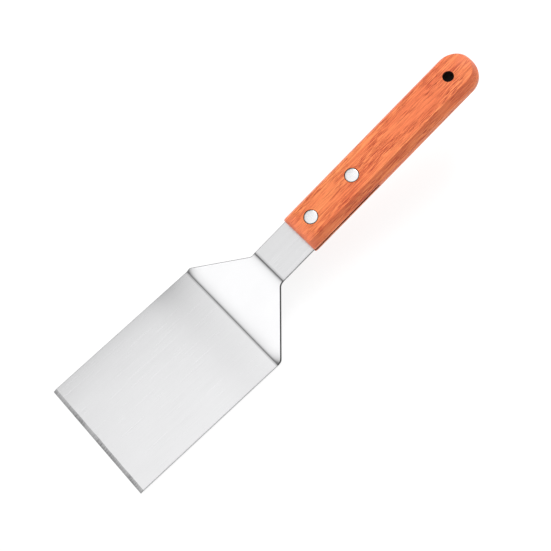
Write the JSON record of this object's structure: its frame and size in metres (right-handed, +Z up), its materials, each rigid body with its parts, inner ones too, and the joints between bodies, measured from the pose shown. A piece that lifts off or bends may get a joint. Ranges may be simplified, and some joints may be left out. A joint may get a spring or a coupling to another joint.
{
  "type": "grill spatula",
  "caption": "Offset grill spatula: flat steel blade with a ground front edge, slanted shoulder and neck, riveted wooden handle with a hanging hole.",
  "frame": {"origin": "middle of the bounding box's base, on the surface that the blade lies on", "axes": "+X across the blade, +Y from the blade's front edge towards the handle's butt, +Z up, out of the blade's upper face"},
  "size_m": [0.0762, 0.2827, 0.0531],
  "materials": {
    "steel": "satin",
    "wood": "satin",
    "rivet": "satin"
  },
  "bodies": {
    "root": {"blade": "steel", "handle": "wood", "front_rivet_solid_half": "rivet", "front_rivet_tube_half": "rivet", "rear_rivet_solid_half": "rivet", "rear_rivet_tube_half": "rivet"}
  },
  "joints": []
}
